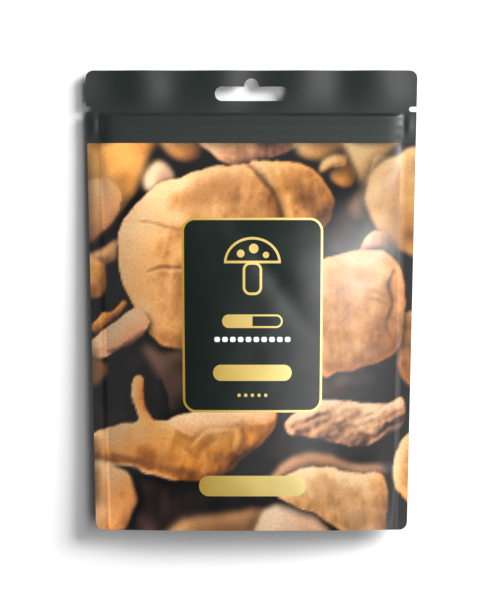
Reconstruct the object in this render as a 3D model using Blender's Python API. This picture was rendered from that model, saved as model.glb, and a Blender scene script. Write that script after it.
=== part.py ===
"""A resealable stand-up pouch of 120 hard capsules, lying on its back.

X runs across the pouch, Y from its bottom edge up to its hanging header, Z up from the surface it lies on.
The origin is on that surface, under the middle of the pouch. Lengths are in metres.

The pouch is three sheets of laminate film, front, back and a folded bottom gusset, heat-sealed along both
sides, along the bottom and across the header, with a press-to-close zip sealed inside below the header.
"""

import math

import bmesh
import bpy

MM = 0.001

# The pouch as it lies filled: its outline seen from above.
LENGTH = 200.0 * MM
HEADER_WIDTH = 145.0 * MM
BOTTOM_WIDTH = 135.0 * MM
CORNER_RADIUS = 3.4 * MM
SIDE_SEAL = 5.8 * MM
BOTTOM_SEAL = 6.0 * MM

# The film, and the gap that keeps two sealed films apart as separate solids.
FILM = 0.15 * MM
SEAL_GAP = 0.10 * MM

# Heights above the surface: of the sealed edges, and of the front above them.
SEAM_AT_BOTTOM = 9.3 * MM
SEAM_AT_HEADER = 4.6 * MM
BELLY_RISE = 18.8 * MM
BOTTOM_EDGE_RISE = 4.6 * MM
BELLY_PEAK_Y = -24.0 * MM
BACK_LIFTS_Y = 12.0 * MM
BELLY_FULLNESS = 1.5
FRONT_CROWN = 2.4
BACK_CROWN = 7.0
BACK_FLATTENING = 1.05
ZIP_CROWN = 60.0
BELLY_STEPS = 8

# The zip below the header.
ZIP_Y = 76.0 * MM
ZIP_TAPE_HALF = 4.1 * MM
ZIP_TAPE = 0.2 * MM
ZIP_HALF_THICKNESS = 1.25 * MM
ZIP_HALF_LENGTH = 60.0 * MM
ZIP_ROOM = ZIP_HALF_THICKNESS + 0.1 * MM
ZIP_STEP = 0.9 * MM
HEADER_SEAL_Y = ZIP_Y + ZIP_TAPE_HALF + ZIP_STEP
BELLY_TOP_Y = 68.0 * MM

# The hanging slot and the tear notches.
SLOT_WIDTH = 32.0 * MM
SLOT_HEIGHT = 6.3 * MM
SLOT_BELOW_TOP = 10.2 * MM
SLOT_BUMP_RADIUS = 3.15 * MM
SLOT_BUMP_CENTRE = 6.65 * MM
NOTCH_BELOW_TOP = 17.0 * MM
NOTCH_DEPTH = 3.3 * MM
NOTCH_HEIGHT = 2.3 * MM
CUTTER_DEPTH = 12.0 * MM

# The bottom gusset, folded in between front and back.
GUSSET_DEPTH = 24.0 * MM
GUSSET_FOLD_RADIUS = 0.16 * MM
GUSSET_ROOM = 0.32 * MM
GUSSET_EASE = 2.0 * MM
GUSSET_CLOSING = 6.0 * MM

# The capsules: size 0, lying end to end in rows across the pouch, in two layers.
CAPSULE_COUNT = 120
CAPSULE_LENGTH = 21.7 * MM
CAPSULE_RADIUS = 3.82 * MM
CAPSULE_NECK = 0.4 * MM
CAPSULE_END = 2.3 * MM
CAPSULE_SIDES = 6
ROW_PITCH = 7.72 * MM
ROW_SHIFT = 1.5 * MM
LAYER_RISE = 6.9 * MM
CAPSULE_CLEARANCE = 0.45 * MM
CAPSULE_LIFT = 0.55 * MM
ROW_AFTER_FOLD = 1.0 * MM
FACET_ALLOWANCE = 0.6 * MM

# Points of one mesh closer than this are one point, and a seal is at least this wide at a rounded corner.
MERGE = 0.001 * MM
LEAST_SEAL = 0.4 * MM

HALF_LENGTH = LENGTH / 2
GUSSET_FOLD_Y = -HALF_LENGTH + GUSSET_DEPTH


def smooth(low, high, value):
    """0 below low, 1 above high, and a smooth step between them."""
    share = min(1.0, max(0.0, (value - low) / (high - low)))
    return share * share * (3 - 2 * share)


def half_width(y):
    """Half the pouch's width at y, with its rounded corners."""
    share = (y + HALF_LENGTH) / LENGTH
    straight = (BOTTOM_WIDTH + (HEADER_WIDTH - BOTTOM_WIDTH) * share) / 2
    past = max(0.0, abs(y) - (HALF_LENGTH - CORNER_RADIUS))
    return straight - CORNER_RADIUS + math.sqrt(max(0.0, CORNER_RADIUS**2 - past**2))


def pocket_half_width(y):
    """Half the width between the side seals at y, measured as if the corners were square."""
    share = (y + HALF_LENGTH) / LENGTH
    return (BOTTOM_WIDTH + (HEADER_WIDTH - BOTTOM_WIDTH) * share) / 2 - SIDE_SEAL


def seam_height(y):
    """Height of the sealed edges: they sink from the full bottom to the flat header."""
    share = min(1.0, (y + HALF_LENGTH) / (BELLY_TOP_Y + HALF_LENGTH))
    return SEAM_AT_BOTTOM + (SEAM_AT_HEADER - SEAM_AT_BOTTOM) * share


def seal_half_gap(y):
    """Half the space between front and back in the seals. The gusset's two layers lie in it near the bottom."""
    return SEAL_GAP / 2 + GUSSET_ROOM * (1 - smooth(GUSSET_FOLD_Y, GUSSET_FOLD_Y + GUSSET_CLOSING, y))


def zip_rise(y):
    """Rise of the film over the zip: none in the header seal, the zip's half thickness below it."""
    return ZIP_ROOM * (1 - smooth(HEADER_SEAL_Y - ZIP_STEP, HEADER_SEAL_Y, y))


def belly_share(y):
    """How far the belly is filled at y: 1 at its peak, 0 where the zip begins."""
    if y <= BELLY_PEAK_Y:
        return 1.0
    share = min(1.0, (y - BELLY_PEAK_Y) / (BELLY_TOP_Y - BELLY_PEAK_Y))
    return 0.5 + 0.5 * math.cos(math.pi * share**BELLY_FULLNESS)


def front_rise(y):
    """Rise of the front's middle above the sealed edges."""
    rise = zip_rise(y) + (BELLY_RISE - ZIP_ROOM) * belly_share(y)
    below = max(0.0, (BELLY_PEAK_Y - y) / (BELLY_PEAK_Y + HALF_LENGTH))
    return rise - (BELLY_RISE - BOTTOM_EDGE_RISE) * below**3.2


def back_drop(y):
    """Drop of the back's middle below the sealed edges: down to the surface under the belly."""
    to_surface = seam_height(y) - seal_half_gap(y) - FILM
    share = 1 - smooth(BACK_LIFTS_Y, BELLY_TOP_Y, y)
    return zip_rise(y) + (to_surface - zip_rise(y)) * share


def crown(x, y, belly_power):
    """Share of the rise at x: 1 in the middle, 0 at the side seals, nearly square over the stiff zip."""
    across = min(1.0, abs(x) / pocket_half_width(y))
    power = belly_power + (ZIP_CROWN - belly_power) * (1 - belly_share(y)) ** 6
    return 1 - across**power


def front_inside(x, y):
    return seam_height(y) + seal_half_gap(y) + front_rise(y) * crown(x, y, FRONT_CROWN)


def back_inside(x, y):
    share = min(1.0, BACK_FLATTENING * crown(x, y, BACK_CROWN))
    return seam_height(y) - seal_half_gap(y) - back_drop(y) * share


def across_stations():
    """Shares of the pocket's half width where the film has points: closer together towards the side seals."""
    return [0.0, 0.22, 0.42, 0.6, 0.74, 0.85, 0.925, 0.975, 1.0]


def corner_depths():
    """Steps round a corner, measured in from the pouch's end."""
    return [CORNER_RADIUS * (1 - math.cos(math.radians(angle))) for angle in (0, 30, 60, 90)]


def gusset_depths():
    """Steps from the bottom edge in to the gusset's fold. The gusset and both panels share them."""
    return corner_depths() + [BOTTOM_SEAL, 0.45 * GUSSET_DEPTH, 0.7 * GUSSET_DEPTH, GUSSET_DEPTH]


def along_stations():
    """Where the film has points along the pouch, from the bottom edge to the header's top edge."""
    over_gusset = [-HALF_LENGTH + depth for depth in gusset_depths()]
    first = GUSSET_FOLD_Y + GUSSET_CLOSING
    belly = [first + (BELLY_TOP_Y - first) * step / BELLY_STEPS for step in range(BELLY_STEPS + 1)]
    over_zip = [ZIP_Y - ZIP_TAPE_HALF, HEADER_SEAL_Y - ZIP_STEP, HEADER_SEAL_Y]
    top = [HALF_LENGTH - depth for depth in reversed(corner_depths())]
    return over_gusset + belly + over_zip + top


def film_columns(y):
    """The x positions of one line of film points: the pocket between the seals, then the seal's outer edge."""
    pocket = min(pocket_half_width(y), half_width(y) - LEAST_SEAL)
    right = [pocket * share for share in across_stations()] + [half_width(y)]
    return [-x for x in reversed(right[1:])] + right


def new_object(name, mesh, material):
    obj = bpy.data.objects.new(name, mesh)
    bpy.context.scene.collection.objects.link(obj)
    if material is not None:
        mesh.materials.append(material)
    return obj


def shade(mesh, angle=35):
    mesh.shade_smooth()
    mesh.set_sharp_from_angle(angle=math.radians(angle))


def cover(bm, rows):
    """Triangles over rows of vertices across the pouch.

    Each cell is split from its corner by the seal and the bottom edge, so that sheets sealed together split alike.
    """
    half = (len(rows[0]) - 1) // 2
    for first, second in zip(rows, rows[1:]):
        for i in range(len(first) - 1):
            a, b, c, d = first[i], first[i + 1], second[i + 1], second[i]
            if (i < half) == (first[i].co.y < second[i].co.y):
                halves = (a, b, c), (a, c, d)
            else:
                halves = (a, b, d), (b, c, d)
            for triangle in halves:
                bm.faces.new(triangle)


def film_sheet(name, height, outward, material):
    """One film panel: a sheet laid over height(x, y), thickened outwards."""
    bm = bmesh.new()
    rows = [[bm.verts.new((x, y, height(x, y))) for x in film_columns(y)] for y in along_stations()]
    cover(bm, rows)
    if outward < 0:
        bmesh.ops.reverse_faces(bm, faces=bm.faces)
    mesh = bpy.data.meshes.new(name)
    bm.to_mesh(mesh)
    bm.free()
    obj = new_object(name, mesh, material)
    solid = obj.modifiers.new("film thickness", "SOLIDIFY")
    solid.thickness = FILM
    solid.offset = 1.0
    solid.use_even_offset = False
    shade(mesh)
    return obj


def prism(name, outline):
    """A cutter: a closed outline in X and Y, standing through the header."""
    bm = bmesh.new()
    bottom = [bm.verts.new((x, y, SEAM_AT_HEADER - CUTTER_DEPTH / 2)) for x, y in outline]
    face = bm.faces.new(bottom)
    made = bmesh.ops.extrude_face_region(bm, geom=[face])
    lifted = [v for v in made["geom"] if isinstance(v, bmesh.types.BMVert)]
    bmesh.ops.translate(bm, verts=lifted, vec=(0, 0, CUTTER_DEPTH))
    bmesh.ops.recalc_face_normals(bm, faces=bm.faces)
    mesh = bpy.data.meshes.new(name)
    bm.to_mesh(mesh)
    bm.free()
    obj = new_object(name, mesh, None)
    obj.hide_render = True
    obj.display_type = "WIRE"
    return obj


def arc(centre, radius, start, end, steps):
    """Points on an arc, from the start angle to the end angle in degrees."""
    angles = [math.radians(start + (end - start) * i / steps) for i in range(steps + 1)]
    return [(centre[0] + radius * math.cos(a), centre[1] + radius * math.sin(a)) for a in angles]


def slot_outline():
    """The hanging slot: a bar with round ends and a round bump in the middle of its upper edge."""
    y = HALF_LENGTH - SLOT_BELOW_TOP
    end_radius = SLOT_HEIGHT / 2
    end_x = SLOT_WIDTH / 2 - end_radius
    bump_y = HALF_LENGTH - SLOT_BUMP_CENTRE
    meets = math.degrees(math.asin((y + end_radius - bump_y) / SLOT_BUMP_RADIUS))
    right = arc((end_x, y), end_radius, -90, 90, 6)
    bump = arc((0, bump_y), SLOT_BUMP_RADIUS, meets, 180 - meets, 8)
    left = arc((-end_x, y), end_radius, 90, 270, 6)
    return right + bump + left


def notch_outline(side):
    """A tear notch with a round inner end, cut in from one side of the header."""
    y = HALF_LENGTH - NOTCH_BELOW_TOP
    edge = half_width(y)
    radius = NOTCH_HEIGHT / 2
    inner = (edge - NOTCH_DEPTH + radius, y)
    past_edge = edge + radius
    points = [(past_edge, y + radius)] + arc(inner, radius, 90, 270, 5) + [(past_edge, y - radius)]
    return points if side > 0 else [(-x, y) for x, y in reversed(points)]


def cut(obj, cutters):
    for cutter in cutters:
        boolean = obj.modifiers.new(cutter.name, "BOOLEAN")
        boolean.operation = "DIFFERENCE"
        boolean.solver = "EXACT"
        boolean.object = cutter


def gusset_line(column):
    """One line of the gusset's middle surface, from the front's bottom edge in to the fold and out along the back.

    Each point is its x, y and z and the y and z of the direction in which the film's thickness is measured.
    """
    clear = SEAL_GAP + FILM / 2

    def layer_point(depth, side):
        y = -HALF_LENGTH + depth
        x = film_columns(y)[column]
        front, back = front_inside(x, y), back_inside(x, y)
        sealed = front - clear if side > 0 else back + clear
        folded = (front + back) / 2 + side * GUSSET_FOLD_RADIUS
        share = smooth(-HALF_LENGTH + BOTTOM_SEAL, GUSSET_FOLD_Y + GUSSET_EASE, y)
        return (x, y, sealed + (folded - sealed) * share, 0.0, side)

    x = film_columns(GUSSET_FOLD_Y)[column]
    fold_z = (front_inside(x, GUSSET_FOLD_Y) + back_inside(x, GUSSET_FOLD_Y)) / 2
    fold = (x, GUSSET_FOLD_Y + GUSSET_FOLD_RADIUS, fold_z, 1.0, 0.0)
    front_layer = [layer_point(depth, 1) for depth in gusset_depths()]
    back_layer = [layer_point(depth, -1) for depth in reversed(gusset_depths())]
    return front_layer + [fold] + back_layer


def gusset(material):
    """The bottom gusset: one sheet, sealed to the front's and the back's bottom edges and folded in between."""
    rows = list(zip(*[gusset_line(column) for column in range(len(film_columns(0)))]))
    bm = bmesh.new()
    faces = {}
    for side in (1, -1):
        reach = side * FILM / 2
        faces[side] = [
            [bm.verts.new((x, y + dy * reach, z + dz * reach)) for x, y, z, dy, dz in row] for row in rows
        ]
        cover(bm, faces[side])
    for outer, inner in zip(faces[1][:: len(rows) - 1], faces[-1][:: len(rows) - 1]):
        for i in range(len(outer) - 1):
            bm.faces.new((outer[i], outer[i + 1], inner[i + 1], inner[i]))
    for end in (0, -1):
        for j in range(len(rows) - 1):
            rim = (faces[1][j][end], faces[1][j + 1][end], faces[-1][j + 1][end], faces[-1][j][end])
            bm.faces.new(rim)
    bmesh.ops.recalc_face_normals(bm, faces=bm.faces)
    mesh = bpy.data.meshes.new("bottom_gusset")
    bm.to_mesh(mesh)
    bm.free()
    shade(mesh)
    return new_object("bottom_gusset", mesh, material)


def zip_strip(name, profile, material):
    """One half of the zip: its cross-section in Y and Z, drawn out across the pouch."""
    bm = bmesh.new()
    ends = [bm.verts.new((-ZIP_HALF_LENGTH, ZIP_Y + y, seam_height(ZIP_Y) + z)) for y, z in profile]
    face = bm.faces.new(ends)
    made = bmesh.ops.extrude_face_region(bm, geom=[face])
    moved = [v for v in made["geom"] if isinstance(v, bmesh.types.BMVert)]
    bmesh.ops.translate(bm, verts=moved, vec=(2 * ZIP_HALF_LENGTH, 0, 0))
    bmesh.ops.recalc_face_normals(bm, faces=bm.faces)
    mesh = bpy.data.meshes.new(name)
    bm.to_mesh(mesh)
    bm.free()
    return new_object(name, mesh, material)


def rib_profile():
    """The rib half: a flat tape with a stem and an arrow head pointing down."""
    top = ZIP_HALF_THICKNESS
    tape = top - ZIP_TAPE
    stem, head, point = 0.35 * MM, 0.75 * MM, 0.2 * MM
    shoulder, tip = -0.15 * MM, -0.80 * MM
    half = [(ZIP_TAPE_HALF, top), (ZIP_TAPE_HALF, tape), (stem, tape), (stem, shoulder)]
    half += [(head, shoulder), (point, tip)]
    return half + [(-y, z) for y, z in reversed(half)]


def groove_profile():
    """The groove half: a flat tape with two hooked walls that hold the arrow head."""
    bottom = -ZIP_HALF_THICKNESS
    tape = bottom + ZIP_TAPE
    outside, inside, lip, hook, rim = 1.35 * MM, 0.95 * MM, 0.5 * MM, 0.05 * MM, 0.55 * MM
    half = [(ZIP_TAPE_HALF, bottom), (ZIP_TAPE_HALF, tape), (outside, tape), (outside, rim)]
    half += [(lip, rim), (lip, hook), (inside, hook), (inside, tape)]
    return half + [(-y, z) for y, z in reversed(half)]


def capsule_row_mesh(count, material):
    """A row of capsules end to end: one turned body, its capsules joined by narrow necks."""
    half = CAPSULE_LENGTH / 2
    profile = []
    for n in range(count):
        middle = (n - (count - 1) / 2) * CAPSULE_LENGTH
        left, right = middle - half, middle + half
        profile.append((left, 0.0 if n == 0 else CAPSULE_NECK))
        profile.append((left + CAPSULE_END, CAPSULE_RADIUS))
        profile.append((right - CAPSULE_END, CAPSULE_RADIUS))
    profile.append((count * half, 0.0))
    bm = bmesh.new()
    points = [bm.verts.new((x, 0.0, r)) for x, r in profile]
    edges = [bm.edges.new(pair) for pair in zip(points, points[1:])]
    bmesh.ops.spin(
        bm,
        geom=points + edges,
        cent=(0, 0, 0),
        axis=(1, 0, 0),
        angle=2 * math.pi,
        steps=CAPSULE_SIDES,
        use_merge=True,
    )
    bmesh.ops.remove_doubles(bm, verts=bm.verts, dist=MERGE)
    bmesh.ops.recalc_face_normals(bm, faces=bm.faces)
    mesh = bpy.data.meshes.new(f"capsule_row_of_{count}")
    bm.to_mesh(mesh)
    bm.free()
    mesh.materials.append(material)
    shade(mesh, 75)
    return mesh


def fits(x, y, z):
    """Whether a capsule's round side at (x, y, z) clears the films."""
    reach = CAPSULE_RADIUS + CAPSULE_CLEARANCE
    for dy in (-reach, -reach / 2, 0.0, reach / 2, reach):
        height = math.sqrt(max(0.0, reach**2 - dy**2))
        under_front = z + height + FACET_ALLOWANCE < front_inside(x, y + dy)
        over_back = z - height > back_inside(x, y + dy)
        if not (under_front and over_back):
            return False
    return True


def row_count(y, z, shift, most=5):
    """How many capsules a row at y and z can hold."""
    for count in range(most, 0, -1):
        reach = count * CAPSULE_LENGTH / 2 - CAPSULE_RADIUS
        if fits(shift + reach, y, z) and fits(shift - reach, y, z):
            return count
    return 0


def capsule_rows(material):
    """Layers of capsule rows from the gusset's fold upwards, each layer in the hollows of the one below."""
    first_y = GUSSET_FOLD_Y + ROW_AFTER_FOLD + CAPSULE_RADIUS
    bottom_z = FILM + CAPSULE_LIFT + CAPSULE_RADIUS
    left = CAPSULE_COUNT
    meshes = {}
    row = 0
    for layer in range(3):
        y = first_y + (layer % 2) * ROW_PITCH / 2
        z = bottom_z + layer * LAYER_RISE
        while left and y < BELLY_TOP_Y:
            shift = ROW_SHIFT if row % 2 else -ROW_SHIFT
            count = min(left, row_count(y, z, shift))
            if count:
                if count not in meshes:
                    meshes[count] = capsule_row_mesh(count, material)
                row += 1
                obj = bpy.data.objects.new(f"capsule_row_{row:02d}", meshes[count])
                bpy.context.scene.collection.objects.link(obj)
                obj.location = (shift, y, z)
                left -= count
            y += ROW_PITCH


def plain_material(name, colour, roughness):
    material = bpy.data.materials.new(name)
    material.use_nodes = True
    shader = material.node_tree.nodes["Principled BSDF"]
    shader.inputs["Base Color"].default_value = (*colour, 1.0)
    shader.inputs["Roughness"].default_value = roughness
    shader.inputs["Metallic"].default_value = 0.0
    return material


def main():
    for obj in list(bpy.data.objects):
        bpy.data.objects.remove(obj)
    printed_film = plain_material("printed matte film", (0.55, 0.30, 0.12), 0.40)
    dark_film = plain_material("dark matte film", (0.03, 0.04, 0.038), 0.40)
    zip_plastic = plain_material("zip polyethylene", (0.75, 0.76, 0.76), 0.35)
    capsule_shell = plain_material("capsule shell", (0.72, 0.62, 0.45), 0.25)

    front = film_sheet("front_panel", front_inside, 1, printed_film)
    back = film_sheet("back_panel", back_inside, -1, dark_film)
    cutters = [prism("slot_cutter", slot_outline())]
    cutters.append(prism("right_notch_cutter", notch_outline(1)))
    cutters.append(prism("left_notch_cutter", notch_outline(-1)))
    cut(front, cutters)
    cut(back, cutters)
    gusset(dark_film)
    zip_strip("zip_rib_strip", rib_profile(), zip_plastic)
    zip_strip("zip_groove_strip", groove_profile(), zip_plastic)
    capsule_rows(capsule_shell)


main()
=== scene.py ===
"""The looks of a resealable stand-up pouch of capsules, lying on its back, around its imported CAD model.

X runs across the pouch, Y from its bottom edge up to its hanging header, Z up. Lengths are in metres, apart
from the printed picture, which is painted in millimetres of flat film: u across from the middle, v up from
the bottom edge.
"""

import math

import bpy
import numpy as np
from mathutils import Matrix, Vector


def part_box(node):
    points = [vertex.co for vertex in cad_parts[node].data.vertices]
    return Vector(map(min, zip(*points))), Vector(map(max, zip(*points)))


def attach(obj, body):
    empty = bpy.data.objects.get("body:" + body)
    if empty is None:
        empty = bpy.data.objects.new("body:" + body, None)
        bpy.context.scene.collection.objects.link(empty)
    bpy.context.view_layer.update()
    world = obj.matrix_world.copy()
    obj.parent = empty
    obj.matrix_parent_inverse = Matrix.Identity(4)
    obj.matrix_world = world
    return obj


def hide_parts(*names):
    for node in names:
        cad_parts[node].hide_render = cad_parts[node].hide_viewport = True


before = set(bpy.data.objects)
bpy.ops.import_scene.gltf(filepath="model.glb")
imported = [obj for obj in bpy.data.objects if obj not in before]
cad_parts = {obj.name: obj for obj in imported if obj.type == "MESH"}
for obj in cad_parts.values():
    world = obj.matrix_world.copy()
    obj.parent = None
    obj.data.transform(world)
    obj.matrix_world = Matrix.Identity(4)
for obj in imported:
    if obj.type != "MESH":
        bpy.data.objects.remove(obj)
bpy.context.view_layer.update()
MM = 0.001

# ---------------------------------------------------------------- the film's shape, as the CAD model has it

HALF_LENGTH = 100.0 * MM
HEADER_WIDTH = 145.0 * MM
BOTTOM_WIDTH = 135.0 * MM
CORNER_RADIUS = 3.4 * MM
SIDE_SEAL = 5.8 * MM
BOTTOM_SEAL = 6.0 * MM
FILM = 0.15 * MM
SEAL_GAP = 0.10 * MM
SEAM_AT_BOTTOM = 9.3 * MM
SEAM_AT_HEADER = 4.6 * MM
BELLY_RISE = 18.8 * MM
BOTTOM_EDGE_RISE = 4.6 * MM
BELLY_PEAK_Y = -24.0 * MM
BELLY_TOP_Y = 68.0 * MM
BACK_LIFTS_Y = 12.0 * MM
BELLY_FULLNESS = 1.5
FRONT_CROWN = 2.4
BACK_CROWN = 7.0
BACK_FLATTENING = 1.05
ZIP_CROWN = 30.0    # half the CAD model's, so the film bends more softly beside the zip
ZIP_Y = 76.0 * MM
ZIP_TAPE_HALF = 4.1 * MM
ZIP_ROOM = 1.35 * MM
ZIP_STEP = 0.9 * MM
HEADER_SEAL_Y = ZIP_Y + ZIP_TAPE_HALF + ZIP_STEP
GUSSET_DEPTH = 24.0 * MM
GUSSET_ROOM = 0.32 * MM
GUSSET_FOLD_RADIUS = 0.16 * MM
GUSSET_FOLD_Y = -HALF_LENGTH + GUSSET_DEPTH
GUSSET_EASE = 2.0 * MM
GUSSET_CLOSING = 6.0 * MM
GUSSET_WAVE = 0.5 * MM

# The header's gentle waves.
WAVE_LENGTH = 35.0 * MM
WAVE_HEIGHT = 0.68 * MM
WAVE_START = -14.0 * MM
WAVE_WANDER = 10.0 * MM

# Dents of the slack film: broad ones, small ones where capsules lie under it, and one long slanting fold.
DENT_DEPTH = 0.8 * MM
DENT_SIZE = (34.0 * MM, 46.0 * MM)
LUMP_DEPTH = 0.22 * MM
LUMP_SIZE = (13.0 * MM, 9.0 * MM)
FOLD_CENTRE = (9.0 * MM, 10.0 * MM)
FOLD_ACROSS = (0.82, 0.57)
FOLD_DEPTH = 0.8 * MM
FOLD_WIDTH = 5.5 * MM
FOLD_LENGTH = 28.0 * MM

# Marks that the zip and the side seals press into the film: their height and their width.
TRACK_MARK = (0.16 * MM, 1.1 * MM)
TAPE_EDGE_MARK = (0.07 * MM, 0.5 * MM)
VALLEY_MARK = (-0.4 * MM, 2.6 * MM)
CRUSHED_END_MARK = (0.35 * MM, 1.8 * MM)
SEAL_MARK = (0.16 * MM, 0.45 * MM)

# The hanging slot and the tear notches.
SLOT_WIDTH = 32.0 * MM
SLOT_HEIGHT = 6.3 * MM
SLOT_BELOW_TOP = 10.2 * MM
SLOT_BUMP_RADIUS = 3.15 * MM
SLOT_BUMP_CENTRE = 6.65 * MM
NOTCH_BELOW_TOP = 17.0 * MM
NOTCH_DEPTH = 3.3 * MM
NOTCH_HEIGHT = 2.3 * MM
PUNCH_REACH = 6.0 * MM

# How finely the films and the capsules are drawn.
FRONT_SPACING = 0.8 * MM
BACK_SPACING = 1.5 * MM
CORNER_ROWS = np.array([0.0, 0.12, 0.35, 0.7, 1.2, 1.8, 2.5, 3.4]) * MM
SMOOTH_ANGLE = math.radians(40)
CAPSULE_SIDES = 8

# A capsule's body and the cap over its end, as (place along it, radius) in mm: outside, then inside.
CAPSULE_LENGTH = 21.7 * MM
CAPSULE_BODY = [(0.0, 0.0), (0.3, 1.35), (1.1, 2.6), (2.3, 3.35), (3.7, 3.62), (18.2, 3.62), (18.4, 3.3),
                (18.2, 0.0)]
CAPSULE_CAP = [(10.9, 3.62), (10.9, 3.82), (17.9, 3.82), (19.4, 3.5), (20.6, 2.7), (21.4, 1.4), (21.7, 0.0),
               (21.3, 0.0), (20.2, 2.4), (18.8, 3.3), (17.6, 3.62)]

# The print, in mm of flat film. One unit of a film's UV map is FLAT_SPAN mm.
FLAT_SPAN = 200.0
HEADER_PRINT_EDGE = 168.2
LABEL_CENTRE = (0.4, 93.5)
LABEL_SIZE = (62.7, 83.8)
LABEL_RADIUS = 5.9
GOLD_LINE = 1.0
INK_BLUR = 0.06
EMBLEM_V = 115.6
CAPSULE_V = 90.7
DASHES_V = 82.9
PILL_V, PILL_SIZE, PILL_RADIUS = 68.6, (35.3, 6.9), 3.4
DOTS_V = 59.0
LOW_PILL_V, LOW_PILL_SIZE, LOW_PILL_RADIUS = 19.8, (48.9, 8.96), 4.4
BACK_PANEL_CENTRE, BACK_PANEL_SIZE = (0, 90), (112, 132)

# Tones of the film and its foil.
HEADER_TONE = "#1b2321"
LABEL_TONE = "#01110b"
DASH_TONE = "#eef0ee"
GOLD_TONE = "#c09a35"
PALE_GOLD_TONE = "#f2dc8e"
GOLD_METALLIC = 0.2
FILM_ROUGHNESS = 0.4

# How strongly the picture is printed, with painted light and painted shade in it: lighter to the left and
# low down, where the film turns away from the key light, and darker to the right, where it turns to it,
# changing over these spans. The seal cuts take the change from left to right away again at the side seals,
# SEAL_U mm out.
INK = 0.76
LEFT_PAINTED_LIGHT = 1.0
RIGHT_PAINTED_SHADE = 0.34
LOW_PAINTED_LIGHT = 0.22
LEFT_SPAN = (-60.0, -14.0)
RIGHT_SPAN = (14.0, 50.0)
LOW_SPAN = (5.0, 60.0)
LEFT_SEAL_CUT = 1.2
RIGHT_SEAL_CUT = 0.85
SEAL_U = 66.2
SEAL_BLUR = 0.7
BRIGHTEST_INK = 0.98

# Light and camera.
FLOOR_SIZE = 6.0
WORLD_LIGHT = 0.03
KEY_PLACE = (1.44, 0.86, 1.02)
KEY_SIZE = (0.95, 0.95)
KEY_POWER = 72.0
SHEEN_PLACE = (0.52, -0.15, 1.25)
SHEEN_SIZE = (1.4, 0.5)
SHEEN_POWER = 8.2
FILL_PLACE = (-1.35, 0.25, 0.7)
FILL_SIZE = (1.2, 1.2)
FILL_POWER = 2.1
CAMERA_HEIGHT = 1.2
CAMERA_ASIDE = (-0.65 * MM, -0.2 * MM)
SEAM_HEIGHT_SEEN = 7.0 * MM
VIEW_HEIGHT = 261.3 * MM


def smooth(low, high, value):
    """0 below low, 1 above high, and a smooth step between them."""
    share = np.clip((value - low) / (high - low), 0, 1)
    return share * share * (3 - 2 * share)


def ridge(value, middle, width):
    """A soft ridge, 1 at the middle."""
    return np.exp(-(((value - middle) / width) ** 2))


def straight_half_width(y):
    """Half the pouch's width at y, as if its corners were square."""
    return (BOTTOM_WIDTH + (HEADER_WIDTH - BOTTOM_WIDTH) * (y + HALF_LENGTH) / (2 * HALF_LENGTH)) / 2


def half_width(y):
    """Half the pouch's width at y, with its rounded corners."""
    past = np.maximum(0.0, np.abs(y) - (HALF_LENGTH - CORNER_RADIUS))
    return straight_half_width(y) - CORNER_RADIUS + np.sqrt(np.maximum(0.0, CORNER_RADIUS**2 - past**2))


def pocket_half_width(y):
    """Half the width between the side seals."""
    return straight_half_width(y) - SIDE_SEAL


def seam_height(y):
    """Height of the sealed edges: they sink from the full bottom to the flat header."""
    share = np.minimum(1.0, (y + HALF_LENGTH) / (BELLY_TOP_Y + HALF_LENGTH))
    return SEAM_AT_BOTTOM + (SEAM_AT_HEADER - SEAM_AT_BOTTOM) * share


def seal_half_gap(y):
    """Half the gap between front and back at the seals: wider where the gusset lies between them."""
    return SEAL_GAP / 2 + GUSSET_ROOM * (1 - smooth(GUSSET_FOLD_Y, GUSSET_FOLD_Y + GUSSET_CLOSING, y))


def zip_rise(y):
    """Room for the zip inside, up to the header seal."""
    return ZIP_ROOM * (1 - smooth(HEADER_SEAL_Y - ZIP_STEP, HEADER_SEAL_Y, y))


def belly_share(y):
    """1 at the fullest part of the belly, falling to 0 at its top."""
    share = np.clip((y - BELLY_PEAK_Y) / (BELLY_TOP_Y - BELLY_PEAK_Y), 0, 1)
    return 0.5 + 0.5 * np.cos(math.pi * share**BELLY_FULLNESS)


def front_rise(y):
    """How far the front rises over the seals along the middle."""
    below = np.maximum(0.0, (BELLY_PEAK_Y - y) / (BELLY_PEAK_Y + HALF_LENGTH))
    filled = zip_rise(y) + (BELLY_RISE - ZIP_ROOM) * belly_share(y)
    return filled - (BELLY_RISE - BOTTOM_EDGE_RISE) * below**3.2


def back_drop(y):
    """How far the back hangs below the seals along the middle: down to the surface under the belly."""
    to_surface = seam_height(y) - seal_half_gap(y) - FILM
    share = 1 - smooth(BACK_LIFTS_Y, BELLY_TOP_Y, y)
    return zip_rise(y) + (to_surface - zip_rise(y)) * share


def crown(x, y, belly_power):
    """1 along the middle, 0 at the seals, flatter across the zip than across the belly."""
    across = np.minimum(1.0, np.abs(x) / pocket_half_width(y))
    power = belly_power + (ZIP_CROWN - belly_power) * (1 - belly_share(y)) ** 6
    return 1 - across**power


def lattice_noise(x, y, seed):
    """Smooth noise from 0 to 1 with one bump per unit."""
    table = np.random.default_rng(seed).random((64, 64))
    column, row = np.floor(x).astype(int), np.floor(y).astype(int)
    across, along = x - column, y - row
    across, along = across * across * (3 - 2 * across), along * along * (3 - 2 * along)
    near, far = (table[line % 64, column % 64] * (1 - across) + table[line % 64, (column + 1) % 64] * across
                 for line in (row, row + 1))
    return near * (1 - along) + far * along


def layered_noise(x, y, seed, layers=3):
    """Noise about 0, each layer twice as fine and half as strong."""
    total = 0.0
    for layer in range(layers):
        total = total + (lattice_noise(x * 2**layer, y * 2**layer, seed + layer) - 0.5) / 2**layer
    return total


def header_wave(x, y):
    """The sealed header waves a little, both films together."""
    free = smooth(HEADER_SEAL_Y - 4 * MM, HALF_LENGTH - 6 * MM, y)
    wander = WAVE_WANDER * layered_noise(x / (60 * MM), y / (60 * MM), 3)
    return WAVE_HEIGHT * free * np.cos(2 * math.pi * (x + wander - WAVE_START) / WAVE_LENGTH)


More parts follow.
